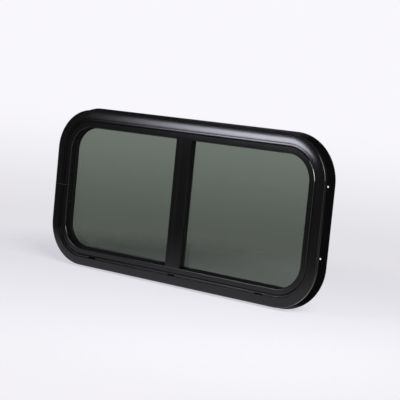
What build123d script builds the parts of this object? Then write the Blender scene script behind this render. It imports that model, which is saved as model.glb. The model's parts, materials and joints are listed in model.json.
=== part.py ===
from build123d import *
from math import cos, radians, sin
import os

# Half-sliding caravan window with radius corners, in millimetres.
# X runs to the right seen from outside, Y into the wall, Z up.
# The origin is the centre of the window on the plane where the flange meets the wall.

# Outer frame: the flange that laps the wall and the body that goes through it
flange_width = 794.0
flange_height = 394.0
flange_radius = 104.0
opening_lap = 16.0          # flange beyond the edge of the hole in the wall
opening_play = 2.0          # between the hole's edge and the frame's body
wall_thickness = 27.5       # wall clamped between flange and ring
web = 2.2                   # wall of the frame extrusion

# Front face of the frame extrusion, from the rim inwards
rim_edge = 3.8              # straight part of the rim
shoulder_radius = 3.0
shoulder_tilt = 11.0        # slope of the crown where it leaves the shoulder, in degrees
crown_width = 21.5
crown_height = 9.1
line_width = 0.8            # fine step at the crown's foot
line_drop = 3.5
band_width = 3.6
band_rise = 0.25            # the band climbs this much towards the groove
groove_width = 2.9
groove_depth = 3.0
groove_slope = 0.7
lip_width = 15.0
lip_height = 4.6
lip_round = 3.5             # nose of the lip, cut as two bevels
reveal_draft = 0.6          # the reveal opens this much towards the glass
seat_width = 11.5           # depth of the glass channels from the daylight edge
joint_gap = 0.3             # butt joint of the bent extrusion

# Panes and the channels that hold them
glass_thickness = 4.0
fixed_glass_depth = 14.4    # outer face of the fixed pane behind the wall plane
sliding_glass_depth = 24.0  # outer face of the sliding pane behind the wall plane
gasket_wall = 1.9           # rubber in front of the fixed pane
gasket_rear = 1.2           # rubber behind the fixed pane
gasket_play = 0.15
gasket_base = 1.6
gasket_sight = 0.8          # rubber that shows beyond the daylight edge
glass_edge_play = 0.4
channel_base = 1.8
channel_play = 1.0
channel_sight = 1.4         # plush channel that shows beyond the daylight edge
channel_slope = 0.9
track_web = 1.6             # wall between the glass seat and the track
track_drop = 5.3            # the track's rear wall ends this far below the daylight edge
channel_joint = 8.0         # straight tail of the jamb channel past its corner
seat_gap = 0.2              # between a strip and the channel that it sits in

# Centre mullion
mullion_width = 44.0
mullion_end_gap = 0.4
mullion_line_offset = -7.0
mullion_line_width = 1.0
mullion_edge = 0.8
mullion_rear = 1.6
mullion_glass_grip = 14.0   # fixed pane held inside the mullion
foot_length = 18.0
foot_tongue_width = 16.0
foot_play = 0.3

# Sliding sash
stile_width = 24.0
stile_wall = 1.4
stile_offset = -6.0         # centre of the stile from the mullion's centre
stile_end_gap = 1.6
pull_height = 8.2
pull_thickness = 2.0
glide_length = 40.0
glide_wall = 0.7
glide_base = 1.2
glide_height = 7.0
glide_inset = 62.0
stop_length = 8.0
pile_width = 5.0
pile_clearance = 0.4

# Drop bolt on the sash and its keeper
latch_length = 50.0
latch_width = 18.0
latch_wall = 1.4
latch_rise = 4.5            # above the end of the stile
bolt_diameter = 6.0
bolt_play = 0.3
knob_diameter = 7.0
knob_length = 6.0
knob_travel = 12.0
keeper_width = 24.0
keeper_plate = 2.0
keeper_height = 9.0

# Clamp ring on the inside of the wall
ring_lap = 5.5              # ring beyond the flange's rim
ring_plate = 2.8
ring_leg = 2.0
ring_leg_length = 13.5
ring_leg_play = 0.3
ring_play = 0.6             # between the ring's inner edge and the tracks
ring_edge = 1.2             # bevel round the ring's inside
ring_hole_diameter = 4.5
ring_hole_inset = 12.0
ring_hole_pitch = 162.0
ring_side_hole_shift = 8.0

# Weep slots in the bottom rail
weep_length = 22.0
weep_height = 3.4
weep_pitch = 252.0

# Splice behind the frame's butt joint
splice_length = 70.0
splice_thickness = 6.0

half_width = flange_width / 2
half_height = flange_height / 2

# Distances inwards from the rim
body_outside = opening_lap + opening_play
body_inside = body_outside + web
band_start = crown_width + line_width
groove_start = band_start + band_width
lip_start = groove_start + groove_width
daylight = lip_start + lip_width
daylight_deep = daylight + reveal_draft
track_lip = daylight_deep - track_drop
seat_base = daylight_deep - seat_width
seat_back = seat_base - web

# Depths behind the wall plane
groove_floor = groove_depth - lip_height
face_back = groove_floor + web
fixed_seat_front = fixed_glass_depth - gasket_wall
fixed_rear = fixed_glass_depth + glass_thickness
sliding_rear = sliding_glass_depth + glass_thickness
fixed_seat_rear = fixed_rear + gasket_rear + channel_play / 2
track_front = fixed_seat_rear + track_web
track_side = sliding_glass_depth - track_front
track_rear = sliding_rear + track_side
frame_rear = track_rear + track_web
ring_rear = wall_thickness + ring_plate

# Places along the window's width
mullion_half = mullion_width / 2
corner_start = half_width - flange_radius
stile_right = stile_offset + stile_width / 2
stile_left = stile_offset - stile_width / 2
sliding_edge = stile_right - 2 * stile_wall - glass_edge_play
fixed_edge = mullion_half - mullion_glass_grip
sash_inset = seat_base + seat_gap + channel_base + glide_base + glass_edge_play
fixed_inset = seat_base + seat_gap + gasket_base + glass_edge_play
sight_inset = daylight_deep + channel_sight


def outline(points):
    """Closed section from its corner points."""
    return make_face(Polyline(*points, close=True))


def block(x, y, z):
    """Box between two limits on each axis."""
    size = Box(x[1] - x[0], y[1] - y[0], z[1] - z[0])
    return Pos(sum(x) / 2, sum(y) / 2, sum(z) / 2) * size


def bent(section, corners, inward, heading):
    """Extrusion bent along the rim line, with its section given as (inset, depth)."""
    start = Plane(origin=corners[0], x_dir=inward, z_dir=heading)
    path = FilletPolyline(*corners, radius=flange_radius)
    return sweep(sections=start * section, path=path)


def rounded_sheet(inset, front, thickness):
    """Flat sheet that follows the rim line at a distance inside it."""
    sheet = RectangleRounded(flange_width - 2 * inset, flange_height - 2 * inset, flange_radius - inset)
    return Pos(0, front + thickness, 0) * extrude(Plane.XZ * sheet, thickness)


def corner(x_side, z_side):
    """Corner of the rim line before it is rounded."""
    return (x_side * half_width, 0, z_side * half_height)


def right_half(start):
    """Rim line from the top rail round the right jamb to the bottom rail."""
    return [(start, 0, half_height), corner(1, 1), corner(1, -1), (start, 0, -half_height)]


def left_half(start):
    """Rim line from the bottom rail round the left jamb to the top rail."""
    return [(start, 0, -half_height), corner(-1, -1), corner(-1, 1), (start, 0, half_height)]


def frame_section():
    """Frame extrusion: crowned flange, grooved face, reveal, glass seat, track and wall leg."""
    tilt = radians(shoulder_tilt)
    slope = (cos(tilt), -sin(tilt))
    turn = (shoulder_radius * (1 - sin(tilt)), -rim_edge - shoulder_radius * cos(tilt))
    shoulder = TangentArc((0, -rim_edge), turn, tangent=(0, -1))
    crown = TangentArc(turn, (crown_width, -crown_height), tangent=slope)
    band_level = line_drop - crown_height
    bevel = lip_round * (1 - 0.5 ** 0.5)
    rest = Polyline(
        (crown_width, -crown_height),
        (band_start, band_level),
        (groove_start, band_level - band_rise),
        (groove_start + groove_slope, groove_floor),
        (lip_start - groove_slope, groove_floor),
        (lip_start, -lip_height),
        (daylight - lip_round, -lip_height),
        (daylight - bevel, bevel - lip_height),
        (daylight, lip_round - lip_height),
        (daylight_deep, fixed_seat_front),
        (seat_base, fixed_seat_front),
        (seat_base, fixed_seat_rear),
        (daylight_deep, fixed_seat_rear),
        (daylight_deep, track_front),
        (seat_base, track_front),
        (seat_base, track_rear),
        (track_lip, track_rear),
        (track_lip, frame_rear),
        (seat_back, frame_rear),
        (seat_back, fixed_seat_front - web),
        (daylight_deep - web, fixed_seat_front - web),
        (daylight - web, face_back),
        (body_inside, face_back),
        (body_inside, wall_thickness - web),
        (body_outside, wall_thickness - web),
        (body_outside, 0),
        (0, 0),
        (0, -rim_edge),
    )
    return make_face(shoulder + crown + rest)


def weep_slots():
    """Drain slots through the bottom rail, on the band between crown and groove."""
    cutter = extrude(Plane.XZ * Rectangle(weep_length, weep_height), crown_height)
    level = -half_height + (band_start + groove_start) / 2
    return [Pos(i * weep_pitch, face_back + joint_gap, level) * cutter for i in (-1, 0, 1)]


def outer_frame():
    corners = [
        (-half_width, 0, joint_gap / 2),
        corner(-1, 1),
        corner(1, 1),
        corner(1, -1),
        corner(-1, -1),
        (-half_width, 0, -joint_gap / 2),
    ]
    return bent(frame_section(), corners, (1, 0, 0), (0, 0, 1)) - weep_slots()


def frame_splice():
    """Joiner in the hollow behind the butt joint, against the wall leg."""
    inset = (body_inside + seat_gap + ring_leg_play + ring_leg + seat_gap, seat_back - seat_gap)
    x = (-half_width + inset[0], -half_width + inset[1])
    depth = (face_back + seat_gap, face_back + seat_gap + splice_thickness)
    return block(x, depth, (-splice_length / 2, splice_length / 2))


def ring_section():
    """Clamp ring: plate that laps the wall and reaches the tracks, leg inside the frame's body."""
    outside = -ring_lap
    inside = seat_back - ring_play
    leg = body_inside + ring_leg_play
    return outline([
        (outside, ring_rear - ring_edge),
        (outside + ring_edge, ring_rear),
        (inside, ring_rear),
        (inside, wall_thickness),
        (leg + ring_leg, wall_thickness),
        (leg + ring_leg, wall_thickness - ring_leg_length),
        (leg, wall_thickness - ring_leg_length),
        (leg, wall_thickness),
        (outside, wall_thickness),
    ])


def ring_holes():
    """Screw holes through the ring's plate: four pairs along the rails, two pairs on the jambs."""
    hole = Cylinder(ring_hole_diameter / 2, 2 * ring_plate)
    drill = Pos(0, ring_rear - ring_plate / 2, 0) * Rot(90, 0, 0) * hole
    level = half_height - ring_hole_inset
    side = half_width - ring_hole_inset
    on_rails = [
        Pos(i * ring_hole_pitch, 0, k * level) * drill
        for i in (-1.5, -0.5, 0.5, 1.5)
        for k in (-1, 1)
    ]
    on_jambs = [
        Pos(k * side, 0, ring_side_hole_shift + i * ring_hole_pitch) * drill
        for i in (-0.5, 0.5)
        for k in (-1, 1)
    ]
    return on_rails + on_jambs


def clamp_ring():
    corners = [
        (-joint_gap / 2, 0, -half_height),
        corner(-1, -1),
        corner(-1, 1),
        corner(1, 1),
        corner(1, -1),
        (joint_gap / 2, 0, -half_height),
    ]
    return bent(ring_section(), corners, (0, 0, 1), (-1, 0, 0)) - ring_holes()


def mullion_section():
    """Hollow mullion in plan: face, two flanks, rear web and the fixed pane's channel."""
    front = -lip_height
    channel_front = fixed_seat_front
    channel_rear = fixed_rear + gasket_rear
    rear = channel_rear + mullion_rear
    stop = fixed_edge - glass_edge_play - gasket_base
    line = mullion_line_width / 2
    shell = outline([
        (-mullion_half, front + mullion_edge),
        (-mullion_half + mullion_edge, front),
        (mullion_line_offset - line, front),
        (mullion_line_offset, front + line),
        (mullion_line_offset + line, front),
        (mullion_half - mullion_edge, front),
        (mullion_half, front + mullion_edge),
        (mullion_half, channel_front),
        (stop, channel_front),
        (stop, channel_rear),
        (mullion_half - 2 * web, channel_rear),
        (mullion_half - 2 * web, rear),
        (-mullion_half, rear),
    ])
    hollow = outline([
        (-mullion_half + web, front + web),
        (mullion_half - web, front + web),
        (mullion_half - web, channel_front - web),
        (stop - web, channel_front - web),
        (stop - web, channel_rear),
        (-mullion_half + web, channel_rear),
    ])
    return shell - hollow


def centre_mullion():
    body_half = half_height - daylight_deep - mullion_end_gap
    nose = half_height - daylight + lip_round
    face_half = nose - seat_gap
    body = extrude(Pos(0, 0, -body_half) * mullion_section(), 2 * body_half)
    face = block(
        (-mullion_half + mullion_edge, mullion_half - mullion_edge),
        (-lip_height, web - lip_height),
        (-face_half, face_half),
    )
    groove = Pos(mullion_line_offset, -lip_height, 0) * Rot(0, 0, 45) * Box(
        mullion_line_width / 2 ** 0.5, mullion_line_width / 2 ** 0.5, 2 * half_height
    )
    cope = Rot(0, 90, 0) * Cylinder(lip_round + seat_gap, flange_width)
    copes = [Pos(0, lip_round - lip_height, side * nose) * cope for side in (-1, 1)]
    return body + (face - groove - copes)


def mullion_foot(side):
    """Joiner block that fills the mullion's end and drops a tongue into the frame's glass seat."""
    level = half_height - daylight_deep - mullion_end_gap
    stop = fixed_edge - glass_edge_play - gasket_base - web
    hollow = (-mullion_half + web + foot_play, stop - foot_play)
    depth = (web - lip_height + foot_play, fixed_rear + gasket_rear - foot_play)
    plug = block(hollow, depth, (level - foot_length, level))
    middle = sum(hollow) / 2
    tongue = block(
        (middle - foot_tongue_width / 2, middle + foot_tongue_width / 2),
        (fixed_seat_front + foot_play, depth[1]),
        (level - foot_length, half_height - seat_base - seat_gap),
    )
    foot = plug + tongue
    return foot if side > 0 else mirror(foot, Plane.XY)


def fixed_pane():
    sheet = rounded_sheet(fixed_inset, fixed_glass_depth, glass_thickness)
    reach = (-flange_width, flange_width)
    keep = block((fixed_edge, flange_width), reach, reach)
    return sheet & keep


def fixed_pane_gasket():
    """Rubber channel round the fixed pane's outer edges, with its front lip in view."""
    front = fixed_seat_front + seat_gap
    slot_front = fixed_glass_depth - gasket_play
    slot_rear = fixed_rear + gasket_play
    rear = fixed_seat_rear - seat_gap
    base = seat_base + seat_gap
    floor = base + gasket_base
    section = outline([
        (base, front),
        (daylight_deep + gasket_sight - gasket_wall / 2, front),
        (daylight_deep + gasket_sight, slot_front),
        (floor, slot_front),
        (floor, slot_rear),
        (daylight_deep, slot_rear),
        (daylight_deep, rear),
        (base, rear),
    ])
    return bent(section, right_half(mullion_half + seat_gap), (0, 0, -1), (1, 0, 0))


def mullion_glazing_seal():
    """Rubber channel between the fixed pane's inner edge and the mullion."""
    front = fixed_seat_front + seat_gap / 2
    slot_front = fixed_glass_depth - gasket_play
    slot_rear = fixed_rear + gasket_play
    rear = fixed_rear + gasket_rear - seat_gap / 2
    base = fixed_edge - glass_edge_play - gasket_base + seat_gap / 2
    section = outline([
        (base, front),
        (mullion_half, front),
        (mullion_half + gasket_wall / 2, slot_front),
        (fixed_edge - glass_edge_play, slot_front),
        (fixed_edge - glass_edge_play, slot_rear),
        (mullion_half - 2 * web, slot_rear),
        (mullion_half - 2 * web, rear),
        (base, rear),
    ])
    reach = half_height - daylight_deep - gasket_sight - seat_gap
    return extrude(Pos(0, 0, -reach) * section, 2 * reach)


def rebate_infill():
    """Strip that closes the unused glass seat beside the sliding pane."""
    front = fixed_seat_front + seat_gap
    rear = fixed_seat_rear - seat_gap
    base = seat_base + seat_gap
    section = outline([
        (base, front),
        (daylight_deep, front),
        (daylight_deep + reveal_draft / 2, rear),
        (daylight_deep - gasket_wall, rear),
        (daylight_deep - gasket_wall, front + gasket_wall),
        (base + gasket_wall, front + gasket_wall),
        (base + gasket_wall, rear),
        (base, rear),
    ])
    return bent(section, left_half(-mullion_half - seat_gap), (0, 0, 1), (-1, 0, 0))


def sliding_pane():
    sheet = rounded_sheet(sash_inset, sliding_glass_depth, glass_thickness)
    reach = (-flange_width, flange_width)
    keep = block((-flange_width, sliding_edge), reach, reach)
    return sheet & keep


def sash_meeting_stile():
    """Channel on the sliding pane's inner edge, with a pull along its inside."""
    wall_play = stile_wall + gasket_play
    front = sliding_glass_depth - wall_play
    rear = sliding_rear + wall_play
    section = outline([
        (stile_left + 2 * pull_thickness, front),
        (stile_right, front),
        (stile_right, rear),
        (stile_left + pull_thickness, rear),
        (stile_left + pull_thickness, rear + pull_height),
        (stile_left, rear + pull_height),
        (stile_left, rear - stile_wall),
        (stile_right - stile_wall, rear - stile_wall),
        (stile_right - stile_wall, front + stile_wall),
        (stile_left + 2 * pull_thickness, front + stile_wall),
    ])
    reach = half_height - sight_inset - stile_end_gap
    return extrude(Pos(0, 0, -reach) * section, 2 * reach)


def channel_section():
    """Plush-lined channel that the sliding pane runs in."""
    front = track_front + seat_gap
    rear = track_rear - seat_gap
    slot_front = sliding_glass_depth - channel_play
    slot_rear = sliding_rear + channel_play
    base = seat_base + seat_gap
    floor = base + channel_base
    return outline([
        (base, front),
        (sight_inset - channel_slope, front),
        (sight_inset, slot_front),
        (floor, slot_front),
        (floor, slot_rear),
        (track_lip, slot_rear),
        (track_lip, rear),
        (base, rear),
    ])


def rail_channel(side):
    """Straight channel along the top rail, or along the bottom rail for side -1."""
    left = -corner_start + channel_joint + joint_gap
    start = Plane(origin=(left, 0, half_height), x_dir=(0, 0, -1), z_dir=(1, 0, 0))
    channel = extrude(start * channel_section(), corner_start - left)
    return channel if side > 0 else mirror(channel, Plane.XY)


def jamb_run_channel():
    return bent(channel_section(), left_half(-corner_start + channel_joint), (0, 0, 1), (-1, 0, 0))


def mullion_pile_strip():
    """Brush on the mullion's back that wipes the sliding pane."""
    seat = fixed_rear + gasket_rear + mullion_rear
    reach = half_height - sight_inset - stile_end_gap
    x = (-mullion_half + web, -mullion_half + web + pile_width)
    return block(x, (seat, sliding_glass_depth - pile_clearance), (-reach, reach))


def sash_glides():
    """Clips on the sliding pane's bottom edge that run on the channel's floor."""
    floor = -half_height + seat_base + seat_gap + channel_base
    outer = (sliding_glass_depth - channel_play + seat_gap, sliding_rear + channel_play - seat_gap)
    inner = (outer[0] + glide_wall, outer[1] - glide_wall)
    top = floor + glide_base + glide_height
    half = glide_length / 2
    clip = block((-half, half), outer, (floor, top))
    clip -= block((-glide_length, glide_length), inner, (floor + glide_base, top + glide_base))
    places = (-corner_start + glide_inset / 2, sliding_edge - glide_inset)
    return [Pos(x, 0, 0) * clip for x in places]


def sash_stops():
    """Buffers at the end of the tracks that stop the opened sash."""
    outer = (sliding_glass_depth - channel_play + seat_gap, sliding_rear + channel_play - seat_gap)
    low = half_height - daylight_deep
    high = half_height - seat_base - seat_gap - channel_base
    buffer = block((corner_start - stop_length, corner_start), outer, (low, high))
    return [buffer, mirror(buffer, Plane.XY)]


def latch_places():
    """Rear face of the stile, centre of the bolt, and back and foot of the latch."""
    seat = sliding_rear + gasket_play + stile_wall
    bolt_x = stile_left + pull_thickness + seat_gap + latch_width / 2
    bolt_y = frame_rear + keeper_plate + bolt_diameter / 2 + bolt_play
    back = bolt_y + bolt_diameter / 2 + bolt_play + latch_wall
    foot = -half_height + sight_inset + stile_end_gap + latch_rise
    return seat, bolt_x, bolt_y, back, foot


def latch_body():
    """Housing of the drop bolt, with a bore for the bolt and a slot for its knob."""
    seat, bolt_x, bolt_y, back, foot = latch_places()
    shell = block(
        (bolt_x - latch_width / 2, bolt_x + latch_width / 2),
        (seat, back),
        (foot, foot + latch_length),
    )
    shell = fillet(shell.edges().filter_by(Axis.Z).group_by(Axis.Y)[-1], latch_wall)
    bore = Cylinder(bolt_diameter / 2 + bolt_play, 4 * latch_length)
    slot_width = knob_diameter / 2 + 2 * bolt_play
    middle = foot + latch_length / 2
    slot = block(
        (bolt_x - slot_width / 2, bolt_x + slot_width / 2),
        (bolt_y, 2 * back),
        (middle - knob_travel / 2 - slot_width, middle + knob_travel / 2 + slot_width),
    )
    return shell - Pos(bolt_x, bolt_y, foot) * bore - slot


def latch_bolt():
    """Bolt with its knob, dropped into the keeper."""
    seat, bolt_x, bolt_y, back, foot = latch_places()
    tip = keeper_level()[0] - bolt_play
    top = foot + latch_length * 0.8
    rod = Pos(bolt_x, bolt_y, (tip + top) / 2) * Cylinder(bolt_diameter / 2, top - tip)
    knob_z = foot + latch_length / 2 - knob_travel / 2
    stem_half = knob_diameter / 4
    stem = block(
        (bolt_x - stem_half, bolt_x + stem_half),
        (bolt_y, back + bolt_play),
        (knob_z - stem_half, knob_z + stem_half),
    )
    head_y = back + bolt_play + knob_length / 2
    head = Pos(bolt_x, head_y, knob_z) * Rot(90, 0, 0) * Cylinder(knob_diameter / 2, knob_length)
    return rod + stem + head


def keeper_level():
    """Underside and top of the keeper's plate."""
    top = -half_height + daylight_deep
    return top - keeper_plate, top


def latch_keeper():
    """Angle on the inside of the bottom track, with a hole for the bolt."""
    seat, bolt_x, bolt_y, back, foot = latch_places()
    low, high = keeper_level()
    x = (bolt_x - keeper_width / 2, bolt_x + keeper_width / 2)
    tread = block(x, (frame_rear, bolt_y + bolt_diameter), (low, high))
    upright = block(x, (frame_rear, frame_rear + keeper_plate), (high - keeper_height, high))
    hole = Pos(bolt_x, bolt_y, high) * Cylinder(bolt_diameter / 2 + bolt_play, 4 * keeper_height)
    return tread + (upright - hole) - hole


parts = {
    "outer_frame": outer_frame(),
    "frame_splice": frame_splice(),
    "clamp_ring": clamp_ring(),
    "centre_mullion": centre_mullion(),
    "mullion_foot_top": mullion_foot(1),
    "mullion_foot_bottom": mullion_foot(-1),
    "fixed_pane": fixed_pane(),
    "fixed_pane_gasket": fixed_pane_gasket(),
    "mullion_glazing_seal": mullion_glazing_seal(),
    "rebate_infill": rebate_infill(),
    "sliding_pane": sliding_pane(),
    "sash_meeting_stile": sash_meeting_stile(),
    "top_run_channel": rail_channel(1),
    "bottom_run_channel": rail_channel(-1),
    "jamb_run_channel": jamb_run_channel(),
    "mullion_pile_strip": mullion_pile_strip(),
    "sash_glides": Compound(sash_glides()),
    "sash_stops": Compound(sash_stops()),
    "latch_body": latch_body(),
    "latch_bolt": latch_bolt(),
    "latch_keeper": latch_keeper(),
}

os.makedirs("parts", exist_ok=True)
for name, part in parts.items():
    export_step(part, f"parts/{name}.step")
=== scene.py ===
"""Half-sliding caravan window: finishes, fine forms, studio and camera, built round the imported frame."""
import json
import logging
import math
from dataclasses import dataclass
from enum import Enum
from typing import Mapping, Optional, Sequence, Union

import bmesh
import bpy
from mathutils import Matrix, Quaternion, Vector


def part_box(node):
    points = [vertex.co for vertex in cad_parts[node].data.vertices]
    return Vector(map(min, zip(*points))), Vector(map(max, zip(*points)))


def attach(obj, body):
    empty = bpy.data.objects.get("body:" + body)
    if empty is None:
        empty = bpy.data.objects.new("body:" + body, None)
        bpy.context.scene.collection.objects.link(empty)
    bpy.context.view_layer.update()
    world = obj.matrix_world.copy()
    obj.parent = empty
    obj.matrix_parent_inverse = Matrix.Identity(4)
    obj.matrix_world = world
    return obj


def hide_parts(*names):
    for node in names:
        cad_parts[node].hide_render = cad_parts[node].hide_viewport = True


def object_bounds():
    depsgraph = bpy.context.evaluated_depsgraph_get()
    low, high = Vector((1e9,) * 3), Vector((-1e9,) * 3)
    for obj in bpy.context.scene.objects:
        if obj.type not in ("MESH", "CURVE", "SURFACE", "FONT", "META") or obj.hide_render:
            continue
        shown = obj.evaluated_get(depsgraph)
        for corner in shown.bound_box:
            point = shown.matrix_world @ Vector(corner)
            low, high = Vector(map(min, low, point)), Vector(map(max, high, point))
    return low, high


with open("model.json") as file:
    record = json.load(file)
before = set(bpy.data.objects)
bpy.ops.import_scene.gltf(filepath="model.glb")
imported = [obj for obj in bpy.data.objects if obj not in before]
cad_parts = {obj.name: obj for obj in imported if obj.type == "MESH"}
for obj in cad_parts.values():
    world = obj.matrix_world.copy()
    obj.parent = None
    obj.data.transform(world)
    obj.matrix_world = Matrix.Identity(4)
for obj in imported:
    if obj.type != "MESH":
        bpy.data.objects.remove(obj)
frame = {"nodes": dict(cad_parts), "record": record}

log = logging.getLogger("caravan_window")
CAD_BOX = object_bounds()
MM = 0.001
TOUCH = 0.001 * MM
RIGHT = Vector((1.0, 0.0, 0.0))
BACK = Vector((0.0, 1.0, 0.0))
UP = Vector((0.0, 0.0, 1.0))

Span = tuple[float, float]
Triple = tuple[float, float, float]
Source = Union[bpy.types.NodeSocket, float, Sequence[float]]


class Slot(Enum):
    """Material slots of the record."""

    FRAME = "black_frame"
    GLASS = "tinted_glass"
    RUBBER = "black_rubber"
    PLUSH = "plush_channel"
    PLASTIC = "black_plastic"
    ALUMINIUM = "bare_aluminium"


@dataclass(frozen=True)
class Wiring:
    """Adds nodes with their links to a material, a light or the world.

    Attributes:
        tree: node tree to add to.
    """

    tree: bpy.types.NodeTree

    def feed(self, node: bpy.types.Node, inputs: Mapping[Union[str, int], Source]) -> None:
        """Links a node's inputs to sockets, or sets them to plain values.

        Args:
            node: the node.
            inputs: socket or value for each input.
        """
        for name, source in inputs.items():
            if isinstance(source, bpy.types.NodeSocket):
                self.tree.links.new(source, node.inputs[name])
            else:
                node.inputs[name].default_value = source

    def add(
        self, kind: str, inputs: Optional[Mapping[Union[str, int], Source]] = None, **settings: object
    ) -> bpy.types.Node:
        """Adds a node.

        Args:
            kind: type of the node.
            inputs: socket or value for each input.
            settings: properties to set before the inputs.

        Returns:
            The node.
        """
        node = self.tree.nodes.new(kind)
        for name, value in settings.items():
            setattr(node, name, value)
        self.feed(node, inputs or {})
        return node

    def compute(self, operation: str, *terms: Source, clamp: bool = False) -> bpy.types.NodeSocket:
        """Adds a calculation with one to three terms.

        Args:
            operation: what is done with the terms.
            terms: sockets or values.
            clamp: whether the result is kept between 0 and 1.

        Returns:
            Socket of the result.
        """
        node = self.add("ShaderNodeMath", dict(enumerate(terms)), operation=operation, use_clamp=clamp)
        return node.outputs["Value"]

    def ramp(
        self, value: Source, reach: Span, results: tuple[Source, Source] = (0.0, 1.0), smooth: bool = False
    ) -> bpy.types.NodeSocket:
        """Adds a ramp.

        Args:
            value: what the ramp follows.
            reach: values at its two ends.
            results: results at its two ends.
            smooth: whether it eases in and out.

        Returns:
            Socket of the result.
        """
        ends = {"From Min": reach[0], "From Max": reach[1], "To Min": results[0], "To Max": results[1]}
        easing = "SMOOTHSTEP" if smooth else "LINEAR"
        node = self.add("ShaderNodeMapRange", {"Value": value, **ends}, interpolation_type=easing)
        return node.outputs["Result"]

    def mix(self, factor: Source, first: Source, second: Source) -> bpy.types.NodeSocket:
        """Adds a mix of two colours.

        Args:
            factor: share of the second colour.
            first: first colour.
            second: second colour.

        Returns:
            Socket of the mixed colour.
        """
        node = self.add("ShaderNodeMix", {"Factor": factor, "A": first, "B": second}, data_type="RGBA")
        return node.outputs["Result"]

    def through_pane(self, ray: bpy.types.Node) -> bpy.types.NodeSocket:
        """Tells which rays come straight through a pane, with no mirror image before it.

        Args:
            ray: Light Path node of the tree.

        Returns:
            Socket that is 1 for such rays.
        """
        straight = self.compute("LESS_THAN", ray.outputs["Glossy Depth"], 1.0)
        return self.compute("MULTIPLY", straight, ray.outputs["Is Transmission Ray"])


@dataclass(frozen=True)
class Grain:
    """Fine surface grain with a slow cloud over it, shared by the coatings and mouldings.

    Attributes:
        fine_scale: grains per metre.
        cloud_scale: clouds per metre.
    """

    fine_scale: float
    cloud_scale: float = 14.0

    GROUP = "surface grain"
    DETAIL = {"Fine": 2.0, "Cloud": 4.0}

    @classmethod
    def group(cls) -> bpy.types.NodeTree:
        """Finds the shared node group, or builds it on first use.

        Returns:
            The group, with an input for the scale of each layer and an output for its mask.
        """
        found = bpy.data.node_groups.get(cls.GROUP)
        if found:
            return found
        tree = bpy.data.node_groups.new(cls.GROUP, "ShaderNodeTree")
        for layer in cls.DETAIL:
            tree.interface.new_socket(f"{layer} Scale", in_out="INPUT", socket_type="NodeSocketFloat")
            tree.interface.new_socket(layer, in_out="OUTPUT", socket_type="NodeSocketFloat")
        wiring = Wiring(tree)
        inlet = wiring.add("NodeGroupInput")
        place = wiring.add("ShaderNodeTexCoord")
        masks = {}
        for layer, detail in cls.DETAIL.items():
            noise = wiring.add("ShaderNodeTexNoise", {
                "Vector": place.outputs["Object"],
                "Scale": inlet.outputs[f"{layer} Scale"],
                "Detail": detail,
            })
            masks[layer] = noise.outputs["Fac"]
        wiring.add("NodeGroupOutput", masks)
        return tree

    def add(self, wiring: Wiring) -> bpy.types.Node:
        """Places the grain in a material.

        Args:
            wiring: wiring of the material.

        Returns:
            The group node, with outputs Fine and Cloud.
        """
        scales = {"Fine Scale": self.fine_scale, "Cloud Scale": self.cloud_scale}
        return wiring.add("ShaderNodeGroup", scales, node_tree=self.group())


@dataclass(frozen=True)
class Finish:
    """A finish with a material of its own.

    Attributes:
        name: name of the material.
    """

    name: str

    def material(self) -> bpy.types.Material:
        """Finds the material, or makes it on first use.

        Returns:
            The material.
        """
        made = bpy.data.materials.get(self.name)
        if not made:
            made = bpy.data.materials.new(self.name)
            made.use_nodes = True
            self.paint(Wiring(made.node_tree), made.node_tree.nodes["Principled BSDF"])
        return made

    def paint(self, wiring: Wiring, shader: bpy.types.Node) -> None:
        """Wires the material's shader, each kind of finish in its own way."""
        raise NotImplementedError


@dataclass(frozen=True)
class Coating(Finish):
    """An opaque finish: two near shades, a range of roughness and a fine grain.

    Attributes:
        dark: darker shade, linear.
        light: lighter shade, linear.
        rough: lowest and highest roughness.
        grain: grain of the surface.
        relief: height of the grain in metres.
        metallic: 1 for bare metal.
        sheen: weight of the fibre sheen.
        gloss: level of the mirror-like share.
    """

    dark: Triple
    light: Triple
    rough: Span
    grain: Grain
    relief: float
    metallic: float = 0.0
    sheen: float = 0.0
    gloss: float = 0.5

    def paint(self, wiring: Wiring, shader: bpy.types.Node) -> None:
        """Wires shades, roughness and relief to the grain.

        Args:
            wiring: wiring of the material.
            shader: its shader.
        """
        grain = self.grain.add(wiring).outputs
        bump = wiring.add("ShaderNodeBump", {"Distance": self.relief, "Height": grain["Fine"]})
        wiring.feed(shader, {
            "Base Color": wiring.mix(grain["Cloud"], (*self.dark, 1.0), (*self.light, 1.0)),
            "Roughness": wiring.ramp(grain["Cloud"], (0.0, 1.0), self.rough),
            "Normal": bump.outputs["Normal"],
            "Metallic": self.metallic,
            "Sheen Weight": self.sheen,
            "Specular IOR Level": self.gloss,
        })


@dataclass(frozen=True)
class TintedGlass(Finish):
    """Grey-green safety glass that lets a set share of light through.

    Attributes:
        tint: share of light that a pane lets through, linear.
        ior: refractive index.
    """

    tint: Triple = (0.186, 0.215, 0.180)
    ior: float = 1.5

    def paint(self, wiring: Wiring, shader: bpy.types.Node) -> None:
        """Sets clear, smooth glass of the tint.

        Args:
            wiring: wiring of the material.
            shader: its shader.
        """
        wiring.feed(shader, {
            "Base Color": (*self.tint, 1.0),
            "Transmission Weight": 1.0,
            "Roughness": 0.0,
            "IOR": self.ior,
        })


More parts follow.
